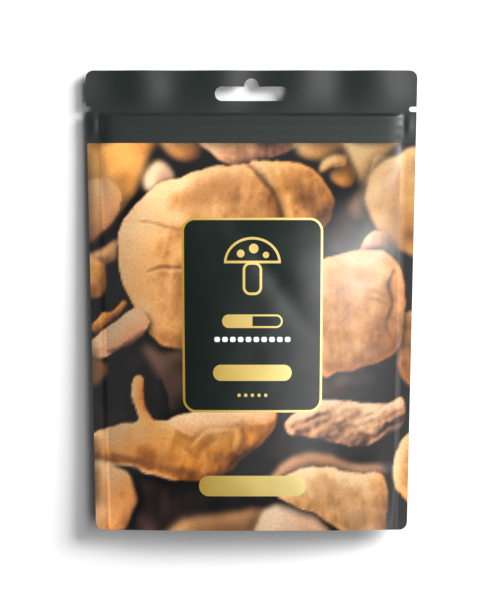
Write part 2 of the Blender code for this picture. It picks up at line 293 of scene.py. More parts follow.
def front_dents(x, y):
    """Where the filled belly's film is slack: broad dents, small lumps and one long slanting fold."""
    from_seal = np.clip(1 - np.abs(x) / pocket_half_width(y), 0, 1)
    free = np.minimum(1, from_seal * 4) * smooth(BELLY_TOP_Y, BELLY_TOP_Y - 25 * MM, y)
    slack = DENT_DEPTH * layered_noise(x / DENT_SIZE[0], y / DENT_SIZE[1], 5, 2)
    lumps = LUMP_DEPTH * layered_noise(x / LUMP_SIZE[0], y / LUMP_SIZE[1], 8, 2)
    dx, dy = x - FOLD_CENTRE[0], y - FOLD_CENTRE[1]
    across = dx * FOLD_ACROSS[0] + dy * FOLD_ACROSS[1]
    along = -dx * FOLD_ACROSS[1] + dy * FOLD_ACROSS[0]
    fold = -FOLD_DEPTH * ridge(across, 0, FOLD_WIDTH) * ridge(along, 0, FOLD_LENGTH)
    return free * (slack + lumps + fold)


def zip_marks(x, y):
    """The zip's track, tape edges and crushed ends, pressed into the film, and the valley below it."""
    edge = pocket_half_width(y)
    between_seals = smooth(edge + 1 * MM, edge - 2 * MM, np.abs(x))
    height, width = TRACK_MARK
    track = height * ridge(y, ZIP_Y, width)
    height, width = TAPE_EDGE_MARK
    edges = height * (ridge(y, ZIP_Y - ZIP_TAPE_HALF, width) + ridge(y, ZIP_Y + ZIP_TAPE_HALF, width))
    height, width = VALLEY_MARK
    valley = height * ridge(y, BELLY_TOP_Y + 0.5 * MM, width)
    height, width = CRUSHED_END_MARK
    crushed = height * ridge(np.abs(x), edge + 2.6 * MM, width) * ridge(y, ZIP_Y, 4 * MM)
    return between_seals * (track + edges + valley) + crushed


def seal_crease(x, y):
    """The raised line along the inner edge of each side seal."""
    height, width = SEAL_MARK
    below_zip = smooth(ZIP_Y + 2 * MM, ZIP_Y - 6 * MM, y)
    return height * below_zip * ridge(np.abs(x), pocket_half_width(y) + 0.5 * MM, width)


def front_inside(x, y):
    """Height of the front film's inner side, smooth as in the CAD model."""
    rise = front_rise(y) * crown(x, y, FRONT_CROWN)
    return seam_height(y) + seal_half_gap(y) + rise


def front_surface(x, y):
    """The same side with its dents, waves and pressed marks."""
    return front_inside(x, y) + header_wave(x, y) + front_dents(x, y) + zip_marks(x, y) + seal_crease(x, y)


def back_inside(x, y):
    """Height of the back film's inner side."""
    share = np.minimum(1.0, BACK_FLATTENING * crown(x, y, BACK_CROWN))
    return seam_height(y) - seal_half_gap(y) - back_drop(y) * share


def back_surface(x, y):
    """The same side with the header's waves."""
    return back_inside(x, y) + header_wave(x, y)


# ---------------------------------------------------------------- printed mushrooms

PRINT_STEP = 0.4            # mm between points of the painted sheet
PRINT_WIDTH = 145.0         # mm of flat film
PRINT_SPARE = 2.0           # mm of picture past the film's bottom edge and under the header's print
LIGHT = (-0.74, 0.67)       # towards the light in the printed scene: upper left
SHADOW_FALL = (1.2, 2.0)    # mm to the right and down that a piece's shadow falls
EVEN_LIGHT = 0.46           # how light a level surface is, from 0 to 1
SLOPE_LIGHT = 1.9           # how much lighter a surface gets as it turns to the light
FIBRE_SHARE = 0.09          # how much the fibres and the mottle change the light
MOTTLE_SHARE = 0.34
FOLD_LIGHT = 1.6            # as SLOPE_LIGHT, for wrinkles
OUTLINE_WANDER = 1.6        # mm by which outlines wander, so that none is too regular
DEEP_TONE = "#1c1312"       # the darkness between the pieces, and how its clouds differ from it
CLOUD_TONE = "#3a2822"


def srgb(code):
    """A #rrggbb colour as three channels from 0 to 1."""
    return np.array([int(code[i:i + 2], 16) for i in (1, 3, 5)], float) / 255


def to_linear(channels):
    """sRGB channels from 0 to 1 as linear ones."""
    return np.where(channels <= 0.04045, channels / 12.92, ((channels + 0.055) / 1.055) ** 2.4)


def blurred(image, spread, passes=3):
    """Softens an image over about spread mm, with passes of a box along each axis."""
    reach = max(1, int(round(spread / PRINT_STEP)))
    for axis in (0, 1):
        for _ in range(passes):
            pad = [(0, 0)] * image.ndim
            pad[axis] = (reach + 1, reach)
            sums = np.cumsum(np.pad(image, pad, mode="edge"), axis=axis)
            count = image.shape[axis]
            high = np.take(sums, np.arange(2 * reach + 1, 2 * reach + 1 + count), axis=axis)
            low = np.take(sums, np.arange(0, count), axis=axis)
            image = (high - low) / (2 * reach + 1)
    return image


def rounded_outline(points, steps=8):
    """A closed smooth curve through the points."""
    p = np.array(points, float)
    before, after, last = np.roll(p, 1, 0), np.roll(p, -1, 0), np.roll(p, -2, 0)
    t = np.arange(steps)[:, None, None] / steps
    curve = p + 0.5 * t * ((after - before) + t * (2 * before - 5 * p + 4 * after - last
                                                   + t * (3 * (p - after) + last - before)))
    return curve.transpose(1, 0, 2).reshape(-1, 2)


def inside(outline, x, y):
    """1 where (x, y) is inside the closed outline, else 0."""
    crossings = np.zeros(x.shape, bool)
    for (x0, y0), (x1, y1) in zip(outline, np.roll(outline, -1, 0)):
        if y0 != y1:
            spans = (y0 > y) != (y1 > y)
            crossings ^= spans & (x < (x1 - x0) * (y - y0) / (y1 - y0) + x0)
    return crossings.astype(float)


def tube(path, widths):
    """Outline of a stem along a path, given its half widths."""
    p = np.array(path, float)
    along = np.gradient(p, axis=0)
    along /= np.linalg.norm(along, axis=1)[:, None]
    side = np.column_stack((-along[:, 1], along[:, 0])) * np.array(widths, float)[:, None]
    return np.vstack((p + side, (p - side)[::-1]))


class Sheet:
    """The printed picture while it is painted, from the farthest piece to the nearest."""

    def __init__(self):
        u = np.arange(-PRINT_WIDTH / 2, PRINT_WIDTH / 2 + PRINT_STEP, PRINT_STEP)
        v = np.arange(-PRINT_SPARE, HEADER_PRINT_EDGE + PRINT_SPARE, PRINT_STEP)
        self.u, self.v = np.meshgrid(u, v)
        self.wave_u = self.u + OUTLINE_WANDER * layered_noise(self.u / 9, self.v / 9, 11)
        self.wave_v = self.v + OUTLINE_WANDER * layered_noise(self.u / 9, self.v / 9, 21)
        depth = layered_noise(self.u / 16, self.v / 22, 31)[..., None]
        self.colour = np.clip(srgb(DEEP_TONE) + depth * srgb(CLOUD_TONE), 0, 1)

    def mushroom(self, outline, tones, soft=0.3, turn=90, crown=9.0, rim=2.4, folds=0.0, shadow=0.75,
                 grain=1.0, lit=0.0, seed=1, full=0.55, rimmed=0.34):
        """Paints one cap or stem.

        tones: its shaded, middle and lit colours. soft: how far out of focus it is. turn: the way its fibres
        run, in degrees. crown and rim: how far in its edge bends, broadly and narrowly, and full and rimmed
        say how strongly. folds: depth of its wrinkles. shadow: how dark it makes what is under it. grain:
        strength of its fibres and mottle. lit: lighter or darker as a whole.
        """
        mask = inside(rounded_outline(outline), self.wave_u, self.wave_v)
        fall = (-int(SHADOW_FALL[1] / PRINT_STEP), int(SHADOW_FALL[0] / PRINT_STEP))
        under = np.roll(mask, fall, (0, 1))
        self.colour *= 1 - shadow * blurred(under, 1.6 + soft)[..., None] * (1 - mask[..., None])
        angle = math.radians(turn)
        along = self.u * math.cos(angle) + self.v * math.sin(angle)
        across = -self.u * math.sin(angle) + self.v * math.cos(angle)
        light = EVEN_LIGHT + lit
        for spread, strength in ((crown, full), (rim, rimmed)):
            rise_v, rise_u = np.gradient(blurred(mask, spread))
            slope = -(rise_u * LIGHT[0] + rise_v * LIGHT[1]) * spread / PRINT_STEP
            light = light + strength * SLOPE_LIGHT * slope
        fibre = layered_noise(along / 15, across / 1.7, 40 + seed, 2)
        mottle = layered_noise(self.u / 8, self.v / 8, 50 + seed, 4)
        light = light + grain * (FIBRE_SHARE * fibre + MOTTLE_SHARE * mottle)
        if folds:
            wrinkles = layered_noise(along / 16 + 1.2 * mottle, across / 3.2 + 1.5 * mottle, 60 + seed, 3)
            rise_v, rise_u = np.gradient(blurred(wrinkles, 0.5))
            light = light - FOLD_LIGHT * folds * (rise_u * LIGHT[0] + rise_v * LIGHT[1]) / PRINT_STEP
        light = np.clip(light, 0, 1)[..., None]
        dark, middle, bright = (srgb(tone) for tone in tones)
        colour = dark + (middle - dark) * np.clip(light * 2, 0, 1)
        colour = colour + (bright - middle) * np.clip(light * 2 - 1, 0, 1)
        edge = blurred(mask, soft, 3 if soft > 0.5 else 1)[..., None]
        if soft > 0.8:
            colour = blurred(colour * mask[..., None], soft) / np.maximum(edge, 1e-4)
        self.colour = self.colour * (1 - edge) + colour * edge

    def stroke(self, path, widths, tone, strength=0.6, soft=0.3):
        """Paints a crease or highlight along a path, given its half widths."""
        mask = blurred(inside(rounded_outline(tube(path, widths)), self.wave_u, self.wave_v), soft)[..., None]
        self.colour = self.colour * (1 - strength * mask) + srgb(tone) * strength * mask

    def sharpen(self, spread, strength):
        """Raises the contrast over about spread mm, keeping each point's hue."""
        tone = np.maximum(self.colour.mean(axis=2), 0.04)
        gain = 1 + strength * (tone - blurred(tone, spread)) / tone
        self.colour = self.colour * np.maximum(gain, 0.2)[..., None]
        self.colour = self.colour / np.maximum(1, self.colour.max(axis=2))[..., None]

    def colours_at(self, u, v):
        """Linear RGBA of the picture at places on the flat film, for a point attribute, with painted light to
        the left and low down and painted shade to the right.
        """
        column = np.clip((u - self.u[0, 0]) / PRINT_STEP, 0, self.u.shape[1] - 1.001)
        row = np.clip((v - self.v[0, 0]) / PRINT_STEP, 0, self.u.shape[0] - 1.001)
        i, j = column.astype(int), row.astype(int)
        across, along = (column - i)[:, None], (row - j)[:, None]
        low = self.colour[j, i] * (1 - across) + self.colour[j, i + 1] * across
        high = self.colour[j + 1, i] * (1 - across) + self.colour[j + 1, i + 1] * across
        colour = to_linear(np.clip(low * (1 - along) + high * along, 0, 1))
        left_seal, right_seal = (smooth(SEAL_U - SEAL_BLUR, SEAL_U + SEAL_BLUR, side * u) for side in (-1, 1))
        # painted light on the left flank and low down, painted shade on the right flank, none on the seals
        painted_light_share = 1 - LEFT_SEAL_CUT * left_seal - RIGHT_SEAL_CUT * right_seal
        painted_side_light = LEFT_PAINTED_LIGHT * (1 - smooth(*LEFT_SPAN, u)) - RIGHT_PAINTED_SHADE * smooth(*RIGHT_SPAN, u)
        ink = INK * (1 + painted_light_share * painted_side_light) * (1 + LOW_PAINTED_LIGHT * (1 - smooth(*LOW_SPAN, v)))
        colour = colour * ink[:, None]
        colour = colour / np.maximum(1, colour.max(axis=1) / BRIGHTEST_INK)[:, None]
        return np.column_stack((colour, np.ones(len(colour)))).astype(np.float32)


CREAMY = ("#93572c", "#db9a58", "#f2c48e")
TAN = ("#6f3f1e", "#cf8a46", "#f5cf98")
OCHRE = ("#55290f", "#cd7f30", "#f4c080")
ORANGE = ("#8d5522", "#e09c4e", "#f2bc7c")
PEACH = ("#70443a", "#dc9c6c", "#f4c496")
PINK = ("#553328", "#c08a60", "#f2cfa6")
BROWN = ("#2e1c17", "#8a5a36", "#c89460")
DUSK = ("#1c1413", "#453028", "#7d5c48")


def paint_mushrooms():
    """Heaped mushroom pieces, painted from the farthest to the nearest."""
    sheet = Sheet()
    # out of focus at the top
    sheet.mushroom([(-76, 172), (-44, 172), (-45, 161), (-48, 151), (-53, 144), (-61, 135), (-66, 130),
                    (-76, 128)], ORANGE, soft=1.6, lit=0.22, crown=12)
    sheet.mushroom([(-65, 153), (-59, 148), (-60, 137), (-67, 129), (-74, 125), (-77, 140), (-73, 151)],
                   ("#b07650", "#e0a46c", "#f2c08c"), soft=1.6, lit=0.1)
    sheet.mushroom([(-39, 172), (-37, 163), (-28, 160), (-20, 164), (-14, 172)], TAN, soft=1.5, lit=0.12)
    sheet.mushroom([(-47, 154), (-42, 160), (-35, 157), (-32, 149), (-40, 144), (-47, 148)],
                   ("#7c5a48", "#cba27c", "#e4c4a0"), soft=1.3)
    sheet.mushroom([(-22, 172), (-17, 163), (-8, 158), (4, 160), (18, 166), (20, 172)], PEACH, soft=0.6,
                   lit=0.2)
    sheet.mushroom([(20, 172), (22, 163), (34, 161), (42, 166), (43, 172)],
                   ("#7a4e28", "#d89850", "#f6c88c"), soft=1.6, lit=0.3)
    sheet.mushroom([(42, 172), (43, 160), (48, 150), (55, 152), (60, 163), (66, 172)],
                   ("#a0642a", "#f0ae5c", "#ffd698"), soft=1.8, lit=0.45)
    sheet.mushroom(tube([(62, 160), (54, 148), (46, 136)], [6, 5, 4]), ("#4c3b2c", "#a07c5a", "#d0a880"),
                   soft=2.2)
    sheet.mushroom([(34, 155), (38, 150), (44, 149), (46, 155), (42, 160)], OCHRE, soft=1.0)
    sheet.mushroom([(29, 155), (32, 161), (41, 163), (42, 159), (35, 157)], TAN, soft=0.8, lit=0.2)
    # right top
    sheet.mushroom([(76, 164), (63, 163), (55, 157), (51, 149), (51.6, 138), (59, 125), (67, 121),
                    (76, 121)], ("#7a4a24", "#d09048", "#f2c488"), soft=1.0, crown=7, lit=0.04)
    # top centre cap
    sheet.mushroom([(-2, 156), (4, 160), (11, 161), (20, 160.5), (27, 157), (32, 151), (35.5, 145),
                    (36, 139), (33, 132), (20, 122), (4, 126)], TAN, turn=100, crown=7, lit=0.02, seed=2)
    # left small pieces
    sheet.mushroom(tube([(-57, 124), (-64, 119), (-73, 116)], [3.5, 4, 3]), BROWN, soft=0.8, lit=0.3)
    sheet.mushroom([(-75, 118), (-67, 116), (-65.5, 107), (-69, 100.5), (-75, 103)], TAN, soft=0.8,
                   lit=0.12)
    sheet.mushroom(tube([(-57.5, 98.5), (-61.5, 93.5), (-67, 92), (-71, 86)], [1.6, 1.8, 2.4, 3]), OCHRE,
                   soft=0.5)
    # main cap
    sheet.mushroom([(-59, 122), (-58, 132), (-50, 143), (-40, 150), (-28, 154), (-16, 158), (-1, 158.5),
                    (8, 149), (13, 136), (14, 105), (0, 84), (-31, 79), (-45, 85), (-53, 96), (-59, 110)],
                   CREAMY, turn=80, crown=10, rim=3.2, seed=3, full=0.62)
    sheet.stroke([(-31, 141), (-18, 147), (-4, 151)], [3, 5, 3], "#a5632e", 0.4, 2.5)
    sheet.stroke([(-33, 94), (-31, 102), (-31, 110)], [3, 4, 3], "#b06c36", 0.35, 2.5)
    sheet.stroke([(-42, 84), (-34, 82), (-28, 84)], [2, 2.5, 2], "#9c5c2e", 0.4, 1.6)
    sheet.stroke([(-55, 134), (-46, 133), (-36, 131.3), (-30, 131)], [0.2, 0.35, 0.35, 0.2], "#8a5228",
                 0.75)
    sheet.stroke([(-56, 132.8), (-46, 131.8), (-36, 130.2)], [0.2, 0.4, 0.3], "#f4cc98", 0.5)
    sheet.stroke([(-46, 112.4), (-40, 113.8), (-29, 113)], [0.2, 0.45, 0.3], "#7a4522", 0.8)
    sheet.stroke([(-44, 111.4), (-38, 112.4), (-29, 111.8)], [0.2, 0.4, 0.3], "#f6cf9c", 0.5)
    sheet.stroke([(-2, 158), (4, 153.5), (9, 147), (12, 140), (13.4, 134)], [0.3, 0.7, 0.8, 0.8, 0.6],
                 "#6e3d1c", 0.7, 0.6)
    # its stem
    sheet.mushroom([(-52, 96), (-60, 92), (-67, 88), (-73, 82), (-73, 76), (-67, 74.6), (-61, 78), (-53, 81),
                     (-47.5, 86), (-46.5, 91)], PEACH, turn=30, crown=4, lit=0.3, seed=4)
    sheet.stroke([(-65, 77.4), (-57, 79.6), (-50, 83.6), (-47.6, 87)], [0.7, 1.0, 1.0, 0.5], "#4a2a20", 0.6,
                 0.6)
    sheet.stroke([(-73, 77), (-69, 75.8), (-65, 76.4)], [0.6, 0.9, 0.5], "#f6d4b0", 0.6, 0.5)
    # dark middle left
    sheet.mushroom([(-75, 77), (-67, 74), (-66, 66), (-75, 62)], BROWN, soft=1.2, shadow=0, lit=0.2)
    sheet.mushroom([(-49, 80), (-38, 78), (-27, 78), (-27, 50), (-34, 48), (-38, 58), (-43, 68)], DUSK,
                   soft=1.6, shadow=0)
    sheet.mushroom([(-41, 66), (-37.5, 60), (-36.6, 53), (-38, 47), (-43, 48), (-43.5, 58)],
                   ("#120f10", "#1c1818", "#2a2322"), soft=0.5, shadow=0)
    # big lower cap with its thin stem
    sheet.mushroom([(-74, 41), (-68, 44), (-61.6, 46), (-53, 47.3), (-51.8, 52), (-53.6, 58), (-54.2, 64),
                    (-51.6, 67), (-48.6, 65), (-49, 58), (-46.6, 51.5), (-42, 48.4), (-31, 49.4), (-24, 52),
                    (0, 54), (10.5, 52), (9.5, 44), (3, 37), (-5, 31), (-10, 26), (-24, 22), (-36, 23),
                    (-48, 25), (-54, 28), (-66, 29.5), (-74, 31)], OCHRE, turn=75, crown=5.5, rim=1.6,
                   lit=0.14, folds=0.05, grain=0.7, seed=5, full=0.5)
    sheet.mushroom([(-36, 49), (-24, 51.6), (0, 53.5), (9, 52), (8, 47), (-4, 46), (-12, 44.4), (-26, 42),
                    (-33, 44)], ("#b4743f", "#e4a672", "#f4cc9c"), turn=170, crown=2.5, rim=1.2, lit=0.28,
                   shadow=0.1, seed=12)
    sheet.stroke([(-64, 33), (-55, 30.6), (-47, 28.2), (-36, 26.6), (-26, 25.4)], [0.8, 1.6, 1.6, 1.4, 0.8],
                 "#5a3020", 0.5, 1.0)
    sheet.stroke([(-67, 29.6), (-57, 28.4), (-50, 25.8), (-43, 24), (-34, 22.8)], [0.3, 0.4, 0.4, 0.4, 0.2],
                 "#f2d2aa", 0.75, 0.4)
    sheet.stroke([(-67, 44.4), (-60, 46), (-53, 46.8)], [0.3, 0.5, 0.3], "#fad8b0", 0.6, 0.4)
    sheet.stroke([(-53.4, 55), (-53.9, 60), (-52.9, 66)], [0.4, 0.6, 0.4], "#fcd6a6", 0.7, 0.4)
    sheet.stroke([(-49.3, 64), (-49.7, 58), (-47.6, 52.4), (-43.5, 49.6)], [0.6, 1.2, 1.1, 0.6], "#7c4218",
                 0.6, 0.7)
    sheet.stroke([(-30, 37), (-26, 33), (-22.8, 37), (-17, 40)], [0.5, 1.2, 1.0, 0.5], "#8a4c18", 0.5, 0.8)
    sheet.stroke([(-28, 37.5), (-22, 42), (-15, 43.6), (-10, 45)], [0.3, 0.8, 0.8, 0.3], "#f6c486", 0.6,
                 0.6)
    sheet.stroke([(-21.4, 35.5), (-21, 29), (-21.9, 24)], [0.4, 0.9, 0.4], "#f4c486", 0.4, 0.9)
    sheet.stroke([(-7.6, 46), (-6.4, 41), (-8.4, 34.5)], [0.4, 1.0, 0.4], "#f6cc94", 0.45, 0.9)
    sheet.stroke([(-4.4, 45), (-3.6, 40), (-5.4, 34)], [0.4, 0.9, 0.4], "#8e501e", 0.5, 0.6)
    sheet.stroke([(-72, 37), (-61, 40), (-50, 41)], [4, 5, 3], "#f0c49c", 0.35, 2.5)
    sheet.stroke([(-53, 34), (-44, 31), (-35, 30)], [3, 3.4, 2], "#7a4420", 0.45, 2)
    # bottom left
    sheet.mushroom([(-75, 29), (-61, 28), (-55, 22), (-53, 14), (-56, 6), (-61, -1), (-75, -6)],
                   ("#70421f", "#d08c50", "#f4c894"), soft=0.9, crown=5, lit=0.16, seed=6)
    # bottom centre
    sheet.mushroom([(-40, -1), (-30, 6), (-15, 8), (0, 9), (8, 8), (8, -8), (-40, -8)], BROWN, soft=1.6,
                   lit=0.0)
    sheet.mushroom([(2, -6), (4, 6), (10, 12), (19, 14.5), (27, 13), (33, 6), (36, -6)],
                   ("#a8704e", "#ecae84", "#f8d4b0"), soft=1.3, lit=0.26)
    # right centre
    sheet.mushroom([(48, 119), (49.5, 125), (55, 129.5), (60.5, 128), (64, 119)], PINK, soft=0.4, lit=-0.05)
    sheet.mushroom([(66, 90), (69, 94), (76, 92), (76, 64), (68, 67)], TAN, soft=0.6, lit=-0.26)
    sheet.mushroom([(32, 68), (52, 71), (54, 62), (45, 58), (30, 60)], DUSK, soft=0.9, lit=0.1)
    sheet.mushroom([(32, 118), (38, 119.5), (48, 121.5), (58, 121.5), (65, 117), (68.5, 110), (70, 101),
                    (69, 90), (66, 78), (60.5, 73.5), (51.5, 71), (38, 68.6), (31, 68), (18, 88), (20, 110)],
                    ("#925628", "#dc9a58", "#f6ca96"), turn=95, crown=8, lit=0.08, folds=0.03, seed=7)
    sheet.stroke([(61, 108), (62.6, 98), (60, 86)], [1.4, 2.6, 1.6], "#8a5226", 0.5, 1.2)
    sheet.stroke([(64.4, 113), (62, 106.5), (64, 99), (61.4, 91), (62.6, 84)], [0.2, 0.4, 0.4, 0.35, 0.2],
                 "#552e16", 0.8)
    sheet.stroke([(52, 103.6), (57, 103), (61, 101)], [0.2, 0.4, 0.2], "#96602e", 0.6)
    sheet.stroke([(53, 100.4), (58, 99.6), (62, 98)], [0.2, 0.4, 0.2], "#96602e", 0.6)
    sheet.stroke([(42, 80), (50, 77), (60, 79)], [1, 2, 1], "#a86a36", 0.35, 1.6)
    # wrinkled piece
    sheet.mushroom([(14.5, 46.5), (18, 50), (24, 54), (33.8, 57.5), (42, 57), (51.8, 55.5), (61, 54.5),
                    (69, 57.5), (70.5, 51), (68.8, 44), (61, 40.7), (51.8, 36.8), (42.5, 37.7), (30, 40),
                    (22, 41.4), (16.5, 42.5)], PINK, turn=15, crown=4, lit=0.13, folds=0.5, grain=1.6,
                   seed=8)
    # lower right
    sheet.mushroom([(8, 22), (14.8, 30.5), (24, 34), (36.5, 33), (49, 29.5), (63, 28), (60, 18), (30, 20),
                    (12, 14)], ("#3a2419", "#a06c44", "#cf9c70"), soft=1.3, turn=10, crown=3, lit=0.02,
                   seed=11)
    sheet.mushroom([(10, 17), (16, 24.5), (26, 27.6), (36.5, 27.6), (49, 25), (60, 25), (64, 18), (62.5, 8),
                    (61, -4), (50, -5), (43, 0), (36, 3.4), (30, 8), (20, 11)],
                   ("#7c4a26", "#d79a5c", "#f2cc9c"), soft=0.5, turn=100, crown=6, lit=0.1, seed=9)
    sheet.stroke([(44, 4), (52, 5), (60, 6)], [3, 4, 3], "#a06a38", 0.45, 2.5)
    sheet.mushroom([(76, 41), (69, 38), (66, 30), (66.4, 22), (70, 15), (76, 11)], TAN, soft=0.4, crown=5,
                   lit=0.05, seed=10)
    sheet.sharpen(6.0, 0.3)
    sheet.sharpen(1.2, 0.6)
    return sheet


# ---------------------------------------------------------------- materials


def linear(code):
    """A #rrggbb sRGB colour as linear RGBA."""
    return (*to_linear(srgb(code)).tolist(), 1.0)


def new_material(name):
    """A material, its node tree and its shader."""
    material = bpy.data.materials.new(name)
    material.use_nodes = True
    tree = material.node_tree
    return material, tree, tree.nodes["Principled BSDF"]


def node(tree, kind, inputs=(), **settings):
    """Adds a node, sets it, links or fills its inputs, and gives the first output in use."""
    made = tree.nodes.new(kind)
    for setting, value in settings.items():
        setattr(made, setting, value)
    for key, value in dict(inputs).items():
        if isinstance(value, bpy.types.NodeSocket):
            tree.links.new(value, made.inputs[key])
        else:
            made.inputs[key].default_value = value
    return next(output for output in made.outputs if output.enabled)


def maths(tree, operation, a, b):
    """One sum, kept from 0 to 1."""
    return node(tree, "ShaderNodeMath", {0: a, 1: b}, operation=operation, use_clamp=True)


def vector(tree, operation, a, b, c=None):
    """One sum on vectors."""
    inputs = {0: a, 1: b} if c is None else {0: a, 1: b, 2: c}
    return node(tree, "ShaderNodeVectorMath", inputs, operation=operation)


def length(tree, a):
    """How long a vector is."""
    return node(tree, "ShaderNodeVectorMath", {0: a}, operation="LENGTH")


def noise(tree, place, scale, detail=2.0, roughness=0.5):
    """Soft noise about 0.5, with scale bumps to one unit of place."""
    inputs = {"Vector": place, "Scale": scale, "Detail": detail, "Roughness": roughness}
    return node(tree, "ShaderNodeTexNoise", inputs)


def mixed(tree, share, a, b):
    """Colour a, turning to b where share is 1."""
    return node(tree, "ShaderNodeMix", {0: share, 6: a, 7: b}, data_type="RGBA")


def within(tree, distance, edge, blur=INK_BLUR):
    """1 where distance is less than edge, else 0, with an edge as soft as printing ink's."""
    limits = {0: distance, 1: edge - blur, 2: edge + blur, 3: 1.0, 4: 0.0}
    return node(tree, "ShaderNodeMapRange", limits, interpolation_type="SMOOTHSTEP")


def box_ink(tree, place, centre, size, radius):
    """1 inside a box with round corners, in mm of flat film."""
    offset = vector(tree, "SUBTRACT", place, (*centre, 0))
    folded = node(tree, "ShaderNodeVectorMath", {0: offset}, operation="ABSOLUTE")
    past = vector(tree, "SUBTRACT", folded, (size[0] / 2 - radius, size[1] / 2 - radius, 1))
    return within(tree, length(tree, vector(tree, "MAXIMUM", past, (0, 0, 0))), radius)


def oval_ink(tree, place, centre, radii):
    """1 inside an oval."""
    offset = vector(tree, "SUBTRACT", place, (*centre, 0))
    scaled = vector(tree, "MULTIPLY", offset, (1 / radii[0], 1 / radii[1], 0))
    return within(tree, length(tree, scaled), 1, INK_BLUR / min(radii))


def outline_ink(tree, place, centre, size, radius, line):
    """A box with round corners, and the line round its inside."""
    outer = box_ink(tree, place, centre, size, radius)
    inner = box_ink(tree, place, centre, (size[0] - 2 * line, size[1] - 2 * line), radius - line)
    return outer, maths(tree, "SUBTRACT", outer, inner)


def height_of(tree, place):
    """How far a place is up from the bottom edge, in mm of flat film."""
    return node(tree, "ShaderNodeSeparateXYZ", {0: place}).node.outputs["Y"]


def above(tree, height, level):
    """1 where height is over level."""
    limits = {0: height, 1: level - INK_BLUR, 2: level + INK_BLUR, 3: 0.0, 4: 1.0}
    return node(tree, "ShaderNodeMapRange", limits, interpolation_type="SMOOTHSTEP")


def row_ink(tree, place, centre, pitch, count, size, radius):
    """A row of equal small boxes, pitch mm apart."""
    middle = centre[0] + (pitch / 2 if count % 2 == 0 else 0)
    start = vector(tree, "SUBTRACT", place, (middle, centre[1], 0))
    wrapped = vector(tree, "WRAP", start, (pitch / 2, FLAT_SPAN, 1), (-pitch / 2, -FLAT_SPAN, -1))
    marks = box_ink(tree, wrapped, (0, 0), size, radius)
    return maths(tree, "MULTIPLY", marks, box_ink(tree, place, centre, (pitch * count, size[1] + 2), 0.1))


def flat_film_place(tree):
    """A film's UV map as mm of flat film."""
    flat = node(tree, "ShaderNodeUVMap", uv_map="flat film")
    return vector(tree, "MULTIPLY_ADD", flat, (FLAT_SPAN, FLAT_SPAN, 0), (-FLAT_SPAN / 2, 0, 0))


def film_skin(tree, shader, place):
    """What all the laminate shares: the soft sheen of matte varnish over it, and its faint orange-peel."""
    shader.inputs["Roughness"].default_value = FILM_ROUGHNESS
    shader.inputs["IOR"].default_value = 1.5
    shader.inputs["Coat Weight"].default_value = 0.35
    shader.inputs["Coat Roughness"].default_value = 0.38
    peel = noise(tree, place, 1 / 1.4, 3.0, 0.6)
    bump = node(tree, "ShaderNodeBump", {"Height": peel, "Strength": 0.25, "Distance": 0.03 * MM})
    tree.links.new(bump, shader.inputs["Normal"])


def mushroom_emblem(tree, place, centre):
    """A plain gold mushroom: an arched cap with three spots, over a stem."""
    x, y = centre
    height = height_of(tree, place)
    arches = []
    for lift, radii, level in ((0, (12.6, 11.4), 0), (0.2, (11.5, 10.1), 1.1)):
        oval = oval_ink(tree, place, (x, y + lift), radii)
        arches.append(maths(tree, "MULTIPLY", oval, above(tree, height, y + level)))
    ink = maths(tree, "SUBTRACT", *arches)
    _, stem_line = outline_ink(tree, place, (x, y - 6.6), (8.6, 14.2), 3.4, 1.1)
    ink = maths(tree, "MAXIMUM", ink, stem_line)
    for dx, dy, radius in ((-5.2, 4.2, 1.7), (0.6, 6.4, 2.1), (6.0, 3.6, 1.4)):
        ink = maths(tree, "MAXIMUM", ink, oval_ink(tree, place, (x + dx, y + dy), (radius, radius)))
    return ink


def capsule_emblem(tree, place, centre):
    """A two-part capsule in outline, its cap filled in."""
    shape, line = outline_ink(tree, place, centre, (27.0, 5.8), 2.9, 0.8)
    cap = maths(tree, "MULTIPLY", shape, box_ink(tree, place, (centre[0] - 8, centre[1]), (16, 9), 0.1))
    return maths(tree, "MAXIMUM", line, cap)


def gold_foil(tree, place):
    """Satin gold, paler to the right."""
    across = node(tree, "ShaderNodeSeparateXYZ", {0: place})
    share = node(tree, "ShaderNodeMapRange", {0: across, 1: -30.0, 2: 28.0, 3: 0.0, 4: 1.0})
    return mixed(tree, share, linear(GOLD_TONE), linear(PALE_GOLD_TONE))


def printed_laminate():
    """Matte laminate of PET, foil and polyethylene, printed in reverse: soft broad highlights, dark even film
    where the picture stops, and lines of gold foil."""
    material, tree, shader = new_material("printed matte PET and foil laminate")
    place = flat_film_place(tree)
    film_skin(tree, shader, place)
    # the picture, with its painted light to the left and low down and painted shade to the right
    picture = node(tree, "ShaderNodeAttribute", attribute_name="printed picture with painted light")
    pores = noise(tree, place, 1 / 1.2)
    pores = node(tree, "ShaderNodeMapRange", {0: pores, 1: 0.3, 2: 0.7, 3: 0.9, 4: 1.1})
    colour = vector(tree, "MULTIPLY", picture, pores)
    header = above(tree, height_of(tree, place), HEADER_PRINT_EDGE)
    colour = mixed(tree, header, colour, linear(HEADER_TONE))

    label, gold = outline_ink(tree, place, LABEL_CENTRE, LABEL_SIZE, LABEL_RADIUS, GOLD_LINE)
    colour = mixed(tree, label, colour, linear(LABEL_TONE))
    middle = LABEL_CENTRE[0]
    for mark in (mushroom_emblem(tree, place, (middle, EMBLEM_V)),
                 capsule_emblem(tree, place, (middle, CAPSULE_V)),
                 box_ink(tree, place, (middle, PILL_V), PILL_SIZE, PILL_RADIUS),
                 row_ink(tree, place, (middle, DOTS_V), 3.0, 5, (1.5, 1.5), 0.7),
                 box_ink(tree, place, (middle, LOW_PILL_V), LOW_PILL_SIZE, LOW_PILL_RADIUS)):
        gold = maths(tree, "MAXIMUM", gold, mark)
    colour = mixed(tree, gold, colour, gold_foil(tree, place))
    white = row_ink(tree, place, (middle, DASHES_V), 3.5, 10, (2.5, 2.2), 0.8)
    colour = mixed(tree, white, colour, linear(DASH_TONE))
    tree.links.new(colour, shader.inputs["Base Color"])
    tree.links.new(maths(tree, "MULTIPLY", gold, GOLD_METALLIC), shader.inputs["Metallic"])
    return material


